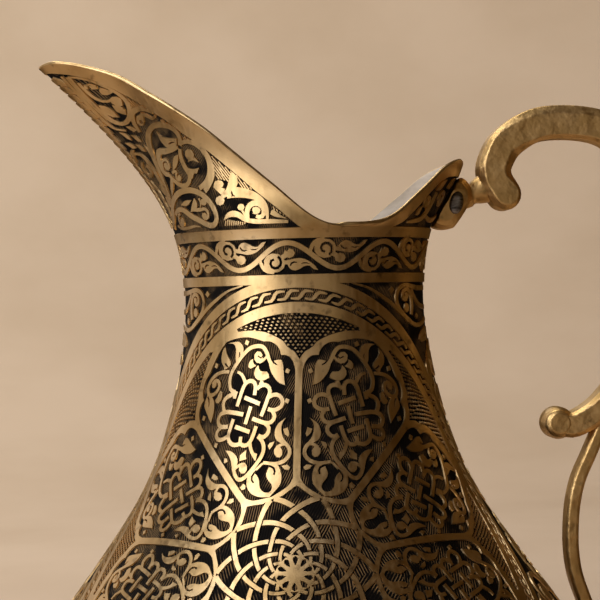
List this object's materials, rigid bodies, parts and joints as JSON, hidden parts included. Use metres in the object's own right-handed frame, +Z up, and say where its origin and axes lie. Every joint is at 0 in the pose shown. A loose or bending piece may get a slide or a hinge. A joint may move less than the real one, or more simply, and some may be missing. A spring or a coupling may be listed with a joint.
{
  "type": "brass jug",
  "caption": "Pear-shaped engraved brass jug with a wide open spout, a flared back lip and a two-scroll cast handle pinned to brackets on the neck and the belly.",
  "frame": {"origin": "centre of the flat underside of the bowl, on the axis of the body", "axes": "+Z up along the axis of the body, -X towards the spout, +X towards the handle, the two sides alike across the XZ plane"},
  "size_m": [0.1836, 0.1618, 0.2424],
  "materials": {
    "brass_sheet": "engraved, polished on the raised parts, dark in the ground, tinned inside",
    "brass_cast": "filed and polished cast brass",
    "steel_pin": "dull steel, cut ends"
  },
  "bodies": {
    "root": {"lower_bowl": "brass_sheet", "upper_body": "brass_sheet", "foot_ring": "brass_cast", "upper_bracket": "brass_cast", "lower_bracket": "brass_cast", "handle_upper_scroll": "brass_cast", "handle_lower_scroll": "brass_cast", "upper_pin": "steel_pin", "lower_pin": "steel_pin"}
  },
  "joints": []
}
